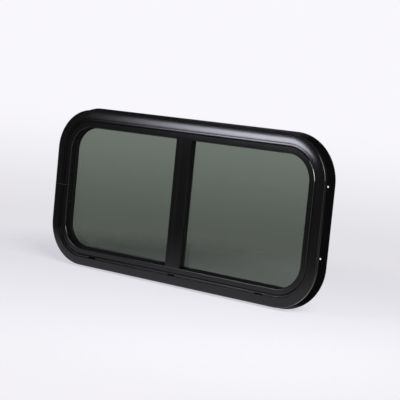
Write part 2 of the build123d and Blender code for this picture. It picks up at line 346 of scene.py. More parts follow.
POWDER_COAT = Coating(
    name="satin black powder coat",
    dark=(0.0035, 0.0035, 0.0037),
    light=(0.0050, 0.0050, 0.0052),
    rough=(0.12, 0.16),
    grain=Grain(fine_scale=1400.0),
    relief=0.00001,
    gloss=0.38,
)
RUBBER = Coating(
    name="black extruded rubber",
    dark=(0.005, 0.005, 0.005),
    light=(0.008, 0.008, 0.008),
    rough=(0.60, 0.75),
    grain=Grain(fine_scale=2200.0),
    relief=0.00003,
    gloss=0.12,
)
PLUSH = Coating(
    name="black plush lining",
    dark=(0.004, 0.004, 0.004),
    light=(0.007, 0.007, 0.007),
    rough=(0.85, 0.95),
    grain=Grain(fine_scale=4000.0),
    relief=0.00012,
    sheen=0.08,
    gloss=0.10,
)
PLASTIC = Coating(
    name="black moulded plastic",
    dark=(0.012, 0.012, 0.012),
    light=(0.018, 0.018, 0.018),
    rough=(0.42, 0.52),
    grain=Grain(fine_scale=3000.0),
    relief=0.00003,
)
MILL_ALUMINIUM = Coating(
    name="mill finish aluminium",
    dark=(0.60, 0.60, 0.61),
    light=(0.72, 0.72, 0.73),
    rough=(0.30, 0.42),
    grain=Grain(fine_scale=900.0),
    relief=0.00002,
    metallic=1.0,
)
GLASS = TintedGlass("tinted safety glass")

FINISHES = {
    Slot.FRAME: POWDER_COAT,
    Slot.GLASS: GLASS,
    Slot.RUBBER: RUBBER,
    Slot.PLUSH: PLUSH,
    Slot.PLASTIC: PLASTIC,
    Slot.ALUMINIUM: MILL_ALUMINIUM,
}


def dress(piece: bpy.types.Object, slot: Slot) -> None:
    """Gives a CAD node or a new piece its finish.

    Args:
        piece: the object.
        slot: material slot of the record.
    """
    piece.data.materials.clear()
    piece.data.materials.append(FINISHES[slot].material())
    log.info("%s dressed as %s", piece.name, slot.value)


class Edge(float, Enum):
    """Usual roundings of edges, in millimetres."""

    HAIR = 0.15
    KEEN = 0.20
    CRISP = 0.25
    FINE = 0.30
    EASED = 0.40
    SOFT = 0.50
    ROUND = 0.60
    FULL = 0.80


@dataclass(frozen=True)
class Turn:
    """A corner of an outline, in millimetres.

    Attributes:
        across: inset from the rim in a section, X in a plan.
        depth: depth behind the wall plane.
        radius: rounding of the corner.
    """

    across: float
    depth: float
    radius: float = 0.0


def rounded(turns: Sequence[Turn], step_deg: float = 15.0) -> list[Span]:
    """Rounds the corners of a closed outline.

    Args:
        turns: corners in order.
        step_deg: angle between two points of a rounding.

    Returns:
        Points of the outline as (across, depth), in millimetres.
    """
    points = []
    for before, turn, after in zip((turns[-1], *turns[:-1]), turns, (*turns[1:], turns[0])):
        here = Vector((turn.across, turn.depth))
        if not turn.radius:
            points.append((turn.across, turn.depth))
            continue
        back = (Vector((before.across, before.depth)) - here).normalized()
        ahead = (Vector((after.across, after.depth)) - here).normalized()
        half = back.angle(ahead) / 2
        centre = here + (back + ahead).normalized() * turn.radius / math.sin(half)
        spoke = here + back * turn.radius / math.tan(half) - centre
        sweep = math.copysign(math.pi - 2 * half, ahead.x * back.y - ahead.y * back.x)
        steps = max(2, round(abs(math.degrees(sweep)) / step_deg))
        for i in range(steps + 1):
            points.append(tuple(centre + Matrix.Rotation(sweep * i / steps, 2) @ spoke))
    return points


def round_ended(half_width: float, half_height: float, roundness: float = 0.98) -> list[Span]:
    """Draws a slot with round ends about its middle.

    Args:
        half_width: half its width, in millimetres.
        half_height: half its height.
        roundness: radius of its corners as a share of the smaller half.

    Returns:
        Points of the outline.
    """
    radius = roundness * min(half_width, half_height)
    sides = ((-1, -1), (1, -1), (1, 1), (-1, 1))
    return rounded([Turn(i * half_width, k * half_height, radius) for i, k in sides])


class Workpiece:
    """A mesh that is modelled with edit operators, from a single point."""

    def __init__(self, name: str) -> None:
        """Starts the mesh.

        Args:
            name: name of the piece.
        """
        bpy.ops.object.select_all(action="DESELECT")
        bpy.ops.mesh.primitive_plane_add(size=MM)
        self.piece = bpy.context.object
        self.piece.name = name
        self.piece.data.name = name
        bpy.ops.object.mode_set(mode="EDIT")
        bpy.ops.mesh.select_mode(type="VERT")
        bpy.ops.mesh.select_all(action="SELECT")
        bpy.ops.mesh.merge(type="CENTER")

    @classmethod
    def block(cls, name: str, outline: Sequence[Vector], way: Vector) -> "Workpiece":
        """Models a straight block.

        Args:
            name: name of the piece.
            outline: points of its first face, in millimetres.
            way: way from there to its last face.

        Returns:
            The block.
        """
        block = cls(name)
        block.fill(outline)
        block.push(way)
        block.close()
        return block

    @classmethod
    def turned(
        cls, name: str, profile: Sequence[Span], centre: Vector, axis: Vector, steps: int = 32
    ) -> "Workpiece":
        """Models a closed body of revolution.

        Args:
            name: name of the piece.
            profile: (radius, place along the axis), from the axis and back to it, in millimetres.
            centre: start of the axis.
            axis: direction of the axis.
            steps: number of steps round it.

        Returns:
            The body.
        """
        body = cls(name)
        side = axis.orthogonal().normalized()
        body.trace([centre + side * radius + axis * along for radius, along in profile])
        bpy.ops.mesh.spin(steps=steps, angle=2 * math.pi, center=centre * MM, axis=axis)
        body.close()
        return body

    def trace(self, points: Sequence[Vector]) -> None:
        """Extrudes the point along a line.

        Args:
            points: points of the line, in millimetres.
        """
        bpy.ops.transform.translate(value=points[0] * MM)
        for before, after in zip(points, points[1:]):
            self.push(after - before)
        bpy.ops.mesh.select_all(action="SELECT")

    def fill(self, points: Sequence[Vector]) -> None:
        """Draws a closed outline and fills it.

        Args:
            points: points of the outline, in millimetres.
        """
        self.trace(points)
        bpy.ops.mesh.edge_face_add()
        bpy.ops.mesh.select_mode(type="FACE")

    def push(self, way: Vector) -> None:
        """Extrudes what is selected along a way given in millimetres."""
        bpy.ops.mesh.extrude_region_move(TRANSFORM_OT_translate={"value": way * MM})

    def bend(self, centre: Vector, steps: int = 24) -> None:
        """Spins the selected face a quarter turn to the right, seen from outside.

        Args:
            centre: centre of the bend, in millimetres.
            steps: number of steps.
        """
        bpy.ops.mesh.spin(steps=steps, angle=-math.pi / 2, center=centre * MM, axis=BACK)

    def close(self) -> None:
        """Merges doubles, turns the faces outwards and leaves edit mode."""
        bpy.ops.mesh.select_all(action="SELECT")
        bpy.ops.mesh.remove_doubles(threshold=TOUCH)
        bpy.ops.mesh.normals_make_consistent(inside=False)
        bpy.ops.object.mode_set(mode="OBJECT")

    def soften(self, levels: Sequence[float], width: float, segments: int = 3) -> None:
        """Bevels the edges that lie at certain levels.

        Args:
            levels: the levels, in millimetres.
            width: width of the bevel, in millimetres.
            segments: number of its facets.
        """
        bpy.ops.object.mode_set(mode="EDIT")
        bpy.ops.mesh.select_mode(type="EDGE")
        bpy.ops.mesh.select_all(action="DESELECT")
        mesh = bmesh.from_edit_mesh(self.piece.data)
        for edge in mesh.edges:
            edge.select_set(any(
                all(abs(end.co.z - level * MM) < TOUCH for end in edge.verts) for level in levels
            ))
        bmesh.update_edit_mesh(self.piece.data)
        bpy.ops.mesh.bevel(offset=width * MM, segments=segments, affect="EDGES")
        bpy.ops.object.mode_set(mode="OBJECT")

    def select(self, *others: bpy.types.Object) -> None:
        """Selects the piece alone or with others, and makes it the active object.

        Args:
            others: objects to select with it.
        """
        bpy.ops.object.select_all(action="DESELECT")
        for one in (*others, self.piece):
            one.select_set(True)
        bpy.context.view_layer.objects.active = self.piece

    def join(self, *others: bpy.types.Object) -> None:
        """Joins further objects to the piece."""
        self.select(*others)
        bpy.ops.object.join()

    def copies(self, shifts: Sequence[Vector]) -> None:
        """Repeats the mesh at further places and joins the copies.

        Args:
            shifts: ways from the first one, in millimetres.
        """
        made = []
        for shift in shifts:
            self.select()
            bpy.ops.object.duplicate()
            copy = bpy.context.object
            copy.data.transform(Matrix.Translation(shift * MM))
            made.append(copy)
        self.join(*made)

    def cut(self, tool: "Workpiece") -> None:
        """Cuts a tool out of the piece and removes the tool.

        Args:
            tool: what is cut out.
        """
        self.select()
        step = self.piece.modifiers.new("cut", "BOOLEAN")
        step.operation = "DIFFERENCE"
        step.solver = "EXACT"
        step.object = tool.piece
        bpy.ops.object.modifier_apply(modifier=step.name)
        bpy.data.objects.remove(tool.piece)

    def deliver(self, slot: Slot, *nodes: str, crease_deg: float = 28.0) -> None:
        """Shades, dresses and places the finished piece.

        Args:
            slot: material slot of the record.
            nodes: CAD nodes that the piece stands for.
            crease_deg: edges sharper than this stay hard.
        """
        self.select()
        bpy.ops.object.shade_smooth_by_angle(angle=math.radians(crease_deg))
        even = self.piece.modifiers.new("flat faces stay flat", "WEIGHTED_NORMAL")
        even.keep_sharp = True
        bpy.ops.object.modifier_apply(modifier=even.name)
        dress(self.piece, slot)
        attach(self.piece, "root")
        if nodes:
            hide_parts(*nodes)
        log.info("%s modelled with %d faces", self.piece.name, len(self.piece.data.polygons))


class Heading(Enum):
    """Ways along the rim line, each followed by the next to its right seen from outside."""

    UP = (0.0, 0.0, 1.0)
    RIGHT = (1.0, 0.0, 0.0)
    DOWN = (0.0, 0.0, -1.0)
    LEFT = (-1.0, 0.0, 0.0)

    @property
    def way(self) -> Vector:
        """Direction as a vector."""
        return Vector(self.value)

    @property
    def following(self) -> "Heading":
        """Heading after a corner, which is also the way inwards."""
        order = list(Heading)
        return order[(order.index(self) + 1) % len(order)]


@dataclass(frozen=True)
class Layout:
    """Insets from the rim and depths behind the wall plane that several pieces share, in millimetres."""

    radius: float = 104.0
    joint_gap: float = 0.3
    seat_gap: float = 0.2
    wall: float = 27.5
    lip_height: float = 4.6
    lip_round: float = 3.5
    daylight: float = 43.8
    daylight_deep: float = 44.4
    seat_base: float = 32.9
    seat_front: float = 12.5
    seat_rear: float = 20.1
    track_front: float = 21.7
    track_rear: float = 30.3
    track_lip: float = 39.1
    sight: float = 45.8
    mullion_half: float = 22.0

    @property
    def half_width(self) -> float:
        """Half the flange's width."""
        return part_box("outer_frame")[1].x / MM

    @property
    def half_height(self) -> float:
        """Half the flange's height."""
        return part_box("outer_frame")[1].z / MM

    @property
    def rail(self) -> float:
        """Half the straight part of a rail."""
        return self.half_width - self.radius

    @property
    def jamb(self) -> float:
        """Half the straight part of a jamb."""
        return self.half_height - self.radius

    def bend_strip(
        self, name: str, turns: Sequence[Turn], start: Span, heading: Heading, runs: Sequence[float]
    ) -> Workpiece:
        """Models a strip that is bent along the rim line.

        Args:
            name: name of the piece.
            turns: section as insets and depths.
            start: X and Z of its start on the rim line.
            heading: first way along it.
            runs: lengths of the straight parts, with a corner between two.

        Returns:
            The strip.
        """
        strip = Workpiece(name)
        at = RIGHT * start[0] + UP * start[1]
        inward = heading.following.way
        strip.fill([at + inward * inset + BACK * depth for inset, depth in rounded(turns)])
        for i, run in enumerate(runs):
            if i:
                inward = heading.following.way
                strip.bend(at + inward * self.radius)
                at = at + (heading.way + inward) * self.radius
                heading = heading.following
            strip.push(heading.way * run)
            at = at + heading.way * run
        strip.close()
        return strip

    def raise_upright(self, name: str, turns: Sequence[Turn], low: float, high: float) -> Workpiece:
        """Models a straight upright from its plan.

        Args:
            name: name of the piece.
            turns: plan as X and depth.
            low: level of its foot.
            high: level of its top.

        Returns:
            The upright.
        """
        foot = [Vector((x, depth, low)) for x, depth in rounded(turns)]
        return Workpiece.block(name, foot, UP * (high - low))


LAYOUT = Layout()


@dataclass
class OuterFrame:
    """Bent flange extrusion with crown, groove, rounded lip, glass seat and track; sizes in millimetres."""

    rim_edge: float = 3.8
    shoulder_radius: float = 3.0
    shoulder_tilt: float = 11.0
    crown_width: float = 21.5
    crown_height: float = 9.1
    line: Span = (0.5, 1.6)
    band_end: float = 25.9
    band_level: float = -5.6
    band_rise: float = 0.25
    band_round: float = 0.45
    groove_floor: float = -1.6
    groove_slope: Span = (0.15, 0.6)
    groove_lean: float = 0.06
    lip_start: float = 28.8
    lip_fall: float = 0.37
    lip_bevel: Span = (1.2, 0.94)
    body: Span = (18.0, 20.2)
    web: float = 2.2
    track_web: float = 1.6
    weep_inset: float = 24.1
    weep_size: Span = (22.0, 3.2)
    weep_pitch: float = 252.0
    fin: float = 0.12

    def arc(self, start: Turn, radius: float, first: float, last: float, steps: int = 10) -> list[Turn]:
        """Draws an arc of the face, from the rim inwards.

        Args:
            start: its first point.
            radius: its radius.
            first: angle between the face and the front at its start, in radians.
            last: the same at its end.
            steps: number of steps.

        Returns:
            Points of the arc, both ends among them.
        """
        leans = [first + (last - first) * i / steps for i in range(steps + 1)]
        return [
            Turn(
                start.across + radius * (math.sin(first) - math.sin(lean)),
                start.depth - radius * (math.cos(lean) - math.cos(first)),
            )
            for lean in leans
        ]

    def crown(self) -> list[Turn]:
        """Draws the rounded shoulder and the crown, from the rim inwards.

        Returns:
            Points up to the last one before the crown's edge.
        """
        tilt = math.radians(self.shoulder_tilt)
        shoulder = self.arc(Turn(0.0, -self.rim_edge), self.shoulder_radius, math.pi / 2, tilt)
        start = shoulder[-1]
        rise = -self.crown_height - start.depth
        width = self.crown_width - start.across
        last = 2 * math.atan2(-rise, width) - tilt
        bow = math.hypot(rise, width) / (2 * math.sin((tilt - last) / 2))
        return shoulder + self.arc(start, bow, tilt, last)[1:-1]

    def section(self) -> list[Turn]:
        """Lists the corners of the extrusion's section.

        Returns:
            The corners, from the rim over the face and back along the wall.
        """
        plan = LAYOUT
        back = self.groove_floor + self.web
        return [
            Turn(0.0, 0.0),
            *self.crown(),
            Turn(self.crown_width, -self.crown_height, Edge.FINE),
            Turn(self.crown_width + self.line[0], self.band_level + self.line[1], Edge.HAIR),
            Turn(self.crown_width + 2 * self.line[0], self.band_level, Edge.CRISP),
            Turn(self.band_end, self.band_level - self.band_rise, self.band_round),
            Turn(self.band_end + self.groove_slope[0], self.groove_floor - self.groove_lean, Edge.KEEN),
            Turn(self.lip_start - self.groove_slope[1], self.groove_floor + self.groove_lean, Edge.KEEN),
            Turn(self.lip_start, self.lip_fall + self.lip_bevel[1] - plan.lip_height, Edge.FINE),
            Turn(self.lip_start + self.lip_bevel[0], self.lip_fall - plan.lip_height, Edge.SOFT),
            Turn(plan.daylight, -plan.lip_height, plan.lip_round),
            Turn(plan.daylight_deep, plan.seat_front, Edge.CRISP),
            Turn(plan.seat_base, plan.seat_front),
            Turn(plan.seat_base, plan.seat_rear),
            Turn(plan.daylight_deep, plan.seat_rear, Edge.CRISP),
            Turn(plan.daylight_deep, plan.track_front, Edge.CRISP),
            Turn(plan.seat_base, plan.track_front),
            Turn(plan.seat_base, plan.track_rear),
            Turn(plan.track_lip, plan.track_rear, Edge.EASED),
            Turn(plan.track_lip, plan.track_rear + self.track_web, Edge.EASED),
            Turn(plan.seat_base - self.web, plan.track_rear + self.track_web, Edge.EASED),
            Turn(plan.seat_base - self.web, plan.seat_front - self.web, Edge.ROUND),
            Turn(plan.daylight_deep - self.web, plan.seat_front - self.web, Edge.ROUND),
            Turn(plan.daylight - self.web, back, Edge.ROUND),
            Turn(self.body[1], back, Edge.ROUND),
            Turn(self.body[1], plan.wall - self.web, Edge.FINE),
            Turn(self.body[0], plan.wall - self.web, Edge.FINE),
            Turn(self.body[0], 0.0, Edge.EASED),
        ]

    def weep_tool(self) -> Workpiece:
        """Models the three round-ended drain slots as one cutting tool.

        Returns:
            The tool.
        """
        level = self.weep_inset - LAYOUT.half_height
        outline = round_ended(*(side / 2 for side in self.weep_size))
        tool = Workpiece.block(
            "weep_tool",
            [Vector((x, -self.crown_height, level + z)) for x, z in outline],
            BACK * (self.crown_height + self.groove_floor + 2 * self.web),
        )
        tool.copies([RIGHT * side * self.weep_pitch for side in (-1, 1)])
        return tool

    def build(self) -> None:
        """Models the frame from its butt joint, cuts the drain slots and shows bare metal in the joint."""
        left, half = -LAYOUT.half_width, LAYOUT.joint_gap / 2
        rail, jamb = 2 * LAYOUT.rail, 2 * LAYOUT.jamb
        runs = (LAYOUT.jamb - half, rail, jamb, rail, LAYOUT.jamb - half)
        strip = LAYOUT.bend_strip("frame_extrusion", self.section(), (left, half), Heading.UP, runs)
        strip.cut(self.weep_tool())
        strip.deliver(Slot.FRAME, "outer_frame")
        fin = LAYOUT.bend_strip("joint_fin", self.section(), (left, -self.fin / 2), Heading.UP, (self.fin,))
        fin.deliver(Slot.ALUMINIUM)


@dataclass
class ClampRing:
    """Ring that clamps the wall from inside, with countersunk screw holes; sizes in millimetres."""

    lap: float = 5.5
    plate: float = 2.8
    edge: float = 1.2
    relief: float = 0.3
    leg: Span = (20.5, 22.5)
    leg_length: float = 13.5
    inner_edge: float = 30.1
    hole_radius: float = 2.25
    sink_radius: float = 4.2
    hole_inset: float = 12.0
    hole_pitch: float = 162.0
    side_shift: float = 8.0

    def section(self) -> list[Turn]:
        """Lists the corners of the ring's section.

        Returns:
            The corners, from the rim round the rear.
        """
        wall = LAYOUT.wall
        rear = wall + self.plate
        return [
            Turn(-self.lap, wall, Edge.FINE),
            Turn(-self.lap, rear - self.edge, Edge.FULL),
            Turn(self.edge - self.lap, rear, Edge.FULL),
            Turn(self.inner_edge, rear, Edge.ROUND),
            Turn(self.inner_edge, wall, Edge.FINE),
            Turn(self.leg[1], wall, Edge.FINE),
            Turn(self.leg[1], wall - self.leg_length, Edge.SOFT),
            Turn(self.leg[0], wall - self.leg_length, Edge.SOFT),
            Turn(self.leg[0], wall, Edge.FINE),
            Turn(self.edge, wall + self.relief),
        ]

    def hole_places(self) -> list[Vector]:
        """Lists the holes, four in each rail and two in each jamb.

        Returns:
            Their places on the plane of the wall's outside.
        """
        level = LAYOUT.half_height - self.hole_inset
        side = LAYOUT.half_width - self.hole_inset
        pitch, shift = self.hole_pitch, self.side_shift
        on_rails = [Vector((i * pitch, 0.0, k * level)) for i in (-1.5, -0.5, 0.5, 1.5) for k in (-1, 1)]
        on_jambs = [Vector((k * side, 0.0, shift + i * pitch)) for i in (-0.5, 0.5) for k in (-1, 1)]
        return on_rails + on_jambs

    def hole_tool(self) -> Workpiece:
        """Models the countersunk holes as one cutting tool.

        Returns:
            The tool.
        """
        first, *others = self.hole_places()
        hole, sink, plate = self.hole_radius, self.sink_radius, self.plate
        profile = [
            (0.0, -plate), (hole, -plate), (hole, plate - sink + hole),
            (sink, plate), (sink, 2 * plate), (0.0, 2 * plate),
        ]
        tool = Workpiece.turned("hole_tool", profile, first + BACK * LAYOUT.wall, BACK)
        tool.copies([place - first for place in others])
        return tool

    def build(self) -> None:
        """Models the ring from its joint in the bottom rail, then drills it."""
        half = LAYOUT.joint_gap / 2
        rail, jamb = 2 * LAYOUT.rail, 2 * LAYOUT.jamb
        runs = (LAYOUT.rail - half, jamb, rail, jamb, LAYOUT.rail - half)
        start = (-half, -LAYOUT.half_height)
        strip = LAYOUT.bend_strip("wall_ring", self.section(), start, Heading.LEFT, runs)
        strip.cut(self.hole_tool())
        strip.deliver(Slot.FRAME, "clamp_ring")


@dataclass
class CentreMullion:
    """Hollow mullion with a fine line on its face, coped to the rounded lip; sizes in millimetres."""

    wall: float = 2.2
    line_at: float = -7.0
    line_half: float = 0.5
    rear: float = 21.2
    pane_channel: Span = (12.5, 19.6)
    pane_stop: float = 6.0
    rear_lip: float = 17.6
    end_gap: float = 0.4

    def plan(self) -> list[Turn]:
        """Lists the corners of the mullion in plan.

        Returns:
            The corners, from the left over the face.
        """
        half, front = LAYOUT.mullion_half, -LAYOUT.lip_height
        return [
            Turn(-half, front, Edge.FULL),
            Turn(self.line_at - self.line_half, front, Edge.HAIR),
            Turn(self.line_at, front + self.line_half),
            Turn(self.line_at + self.line_half, front, Edge.HAIR),
            Turn(half, front, Edge.FULL),
            Turn(half, self.pane_channel[0], Edge.CRISP),
            Turn(self.pane_stop, self.pane_channel[0]),
            Turn(self.pane_stop, self.pane_channel[1]),
            Turn(self.rear_lip, self.pane_channel[1], Edge.CRISP),
            Turn(self.rear_lip, self.rear, Edge.EASED),
            Turn(-half, self.rear, Edge.ROUND),
        ]

    def hollow(self) -> list[Turn]:
        """Lists the corners of its hollow in plan.

        Returns:
            The corners, from the left over the front.
        """
        side = LAYOUT.mullion_half - self.wall
        front = self.wall - LAYOUT.lip_height
        shelf, rear = self.pane_channel[0] - self.wall, self.pane_channel[1]
        stop = self.pane_stop - self.wall
        corners = [(-side, front), (side, front), (side, shelf), (stop, shelf), (stop, rear), (-side, rear)]
        return [Turn(x, depth, Edge.EASED) for x, depth in corners]

    def end_tool(self, side: int, steps: int = 8) -> Workpiece:
        """Models the tool that copes one end to the lip.

        Args:
            side: 1 for the top, -1 for the bottom.
            steps: number of steps round the lip.

        Returns:
            The tool.
        """
        nose = LAYOUT.daylight - LAYOUT.lip_round
        reach = LAYOUT.lip_round + LAYOUT.seat_gap
        middle = LAYOUT.lip_round - LAYOUT.lip_height
        last = math.acos((middle - self.wall + LAYOUT.lip_height) / reach)
        inset = LAYOUT.daylight_deep + self.end_gap
        beyond = 2 * LAYOUT.wall
        leans = [last * i / steps for i in range(steps + 1)]
        line = [(nose + reach * math.sin(lean), middle - reach * math.cos(lean)) for lean in leans]
        line += [(inset, line[-1][1]), (inset, beyond), (0.0, beyond), (0.0, line[0][1])]
        width = 2 * LAYOUT.mullion_half
        outline = [Vector((-width, depth, side * (LAYOUT.half_height - u))) for u, depth in line]
        return Workpiece.block("end_tool", outline, RIGHT * 2 * width)

    def build(self) -> None:
        """Models the mullion, opens its hollow and copes its ends."""
        reach = LAYOUT.half_height - LAYOUT.daylight + LAYOUT.lip_round - LAYOUT.seat_gap
        upright = LAYOUT.raise_upright("mullion_extrusion", self.plan(), -reach, reach)
        upright.cut(LAYOUT.raise_upright("hollow_tool", self.hollow(), -2 * reach, 2 * reach))
        for side in (-1, 1):
            upright.cut(self.end_tool(side))
        upright.deliver(Slot.FRAME, "centre_mullion")


@dataclass
class Seals:
    """Glazing rubbers, infill and plush run channels; sizes in millimetres."""

    base_wall: float = 1.6
    glass_slot: Span = (14.25, 18.55)
    gasket_sight: float = 45.2
    gasket_front: float = 44.25
    infill_wall: float = 1.9
    channel_slot: Span = (23.0, 29.0)
    channel_floor: float = 34.9
    channel_slope: float = 0.9
    channel_tail: float = 8.0

    def room(self, front: float, rear: float) -> Triple:
        """Returns a seat's base, front and rear, less the gap to the frame."""
        gap = LAYOUT.seat_gap
        return LAYOUT.seat_base + gap, front + gap, rear - gap

    def gasket(self) -> list[Turn]:
        """Lists the corners of the rubber round the fixed pane.

        Returns:
            The corners of its section.
        """
        base, front, rear = self.room(LAYOUT.seat_front, LAYOUT.seat_rear)
        floor = base + self.base_wall
        return [
            Turn(base, front),
            Turn(self.gasket_front, front, Edge.SOFT),
            Turn(self.gasket_sight, self.glass_slot[0], Edge.KEEN),
            Turn(floor, self.glass_slot[0]),
            Turn(floor, self.glass_slot[1]),
            Turn(LAYOUT.daylight_deep, self.glass_slot[1], Edge.KEEN),
            Turn(LAYOUT.daylight_deep, rear, Edge.EASED),
            Turn(base, rear),
        ]

    def infill(self) -> list[Turn]:
        """Lists the corners of the strip that closes the unused glass seat.

        Returns:
            The corners of its section.
        """
        base, front, rear = self.room(LAYOUT.seat_front, LAYOUT.seat_rear)
        wall = self.infill_wall
        return [
            Turn(base, front),
            Turn(LAYOUT.daylight_deep, front, Edge.EASED),
            Turn(LAYOUT.daylight_deep + LAYOUT.joint_gap, rear, Edge.EASED),
            Turn(LAYOUT.daylight_deep - wall, rear, Edge.EASED),
            Turn(LAYOUT.daylight_deep - wall, front + wall),
            Turn(base + wall, front + wall),
            Turn(base + wall, rear),
            Turn(base, rear),
        ]

    def channel(self) -> list[Turn]:
        """Lists the corners of the plush channel that the sliding pane runs in.

        Returns:
            The corners of its section.
        """
        base, front, rear = self.room(LAYOUT.track_front, LAYOUT.track_rear)
        return [
            Turn(base, front),
            Turn(LAYOUT.sight - self.channel_slope, front, Edge.SOFT),
            Turn(LAYOUT.sight, self.channel_slot[0], Edge.KEEN),
            Turn(self.channel_floor, self.channel_slot[0]),
            Turn(self.channel_floor, self.channel_slot[1]),
            Turn(LAYOUT.track_lip, self.channel_slot[1], Edge.KEEN),
            Turn(LAYOUT.track_lip, rear, Edge.EASED),
            Turn(base, rear),
        ]

    def build(self) -> None:
        """Models the rubbers, the infill and the run channels."""
        edge = LAYOUT.mullion_half + LAYOUT.seat_gap
        rail, jamb = LAYOUT.rail, 2 * LAYOUT.jamb
        top, bottom = LAYOUT.half_height, -LAYOUT.half_height
        half_round = (rail - edge, jamb, rail - edge)
        tail = self.channel_tail
        bent = (tail, jamb, tail)
        joint = rail - tail
        length = rail + joint - LAYOUT.joint_gap
        gasket, infill, channel = self.gasket(), self.infill(), self.channel()
        right, left = Heading.RIGHT, Heading.LEFT
        strips = (
            ("glazing_rubber", gasket, (edge, top), right, half_round, Slot.RUBBER, "fixed_pane_gasket"),
            ("infill_rubber", infill, (-edge, bottom), left, half_round, Slot.RUBBER, "rebate_infill"),
            ("jamb_channel", channel, (-joint, bottom), left, bent, Slot.PLUSH, "jamb_run_channel"),
            ("top_channel", channel, (rail - length, top), right, (length,), Slot.PLUSH, "top_run_channel"),
            ("bottom_channel", channel, (rail, bottom), left, (length,), Slot.PLUSH, "bottom_run_channel"),
        )
        for name, section, start, heading, runs, slot, node in strips:
            LAYOUT.bend_strip(name, section, start, heading, runs).deliver(slot, node)


@dataclass
class SashStile:
    """Channel on the sliding pane's inner edge with its pull; sizes in millimetres."""

    across: Span = (-18.0, 6.0)
    depth: Span = (22.45, 29.55)
    wall: float = 1.4
    front_edge: float = -14.0
    pull_wall: float = 2.0
    pull_height: float = 8.2
    pull_root: float = 1.2
    pull_edge: float = 0.9
    end_gap: float = 1.6

    def plan(self) -> list[Turn]:
        """Lists the corners of the stile in plan.

        Returns:
            The corners, from its front edge round the pull.
        """
        left, right = self.across
        front, rear = self.depth
        tip = rear + self.pull_height
        return [
            Turn(self.front_edge, front, Edge.FINE),
            Turn(right, front, Edge.ROUND),
            Turn(right, rear, Edge.ROUND),
            Turn(left + self.pull_wall, rear, self.pull_root),
            Turn(left + self.pull_wall, tip, self.pull_edge),
            Turn(left, tip, self.pull_edge),
            Turn(left, rear - self.wall, Edge.ROUND),
            Turn(right - self.wall, rear - self.wall),
            Turn(right - self.wall, front + self.wall),
            Turn(self.front_edge, front + self.wall, Edge.FINE),
        ]

    def build(self) -> None:
        """Models the stile."""
        reach = LAYOUT.half_height - LAYOUT.sight - self.end_gap
        stile = LAYOUT.raise_upright("sash_stile", self.plan(), -reach, reach)
        stile.deliver(Slot.FRAME, "sash_meeting_stile")


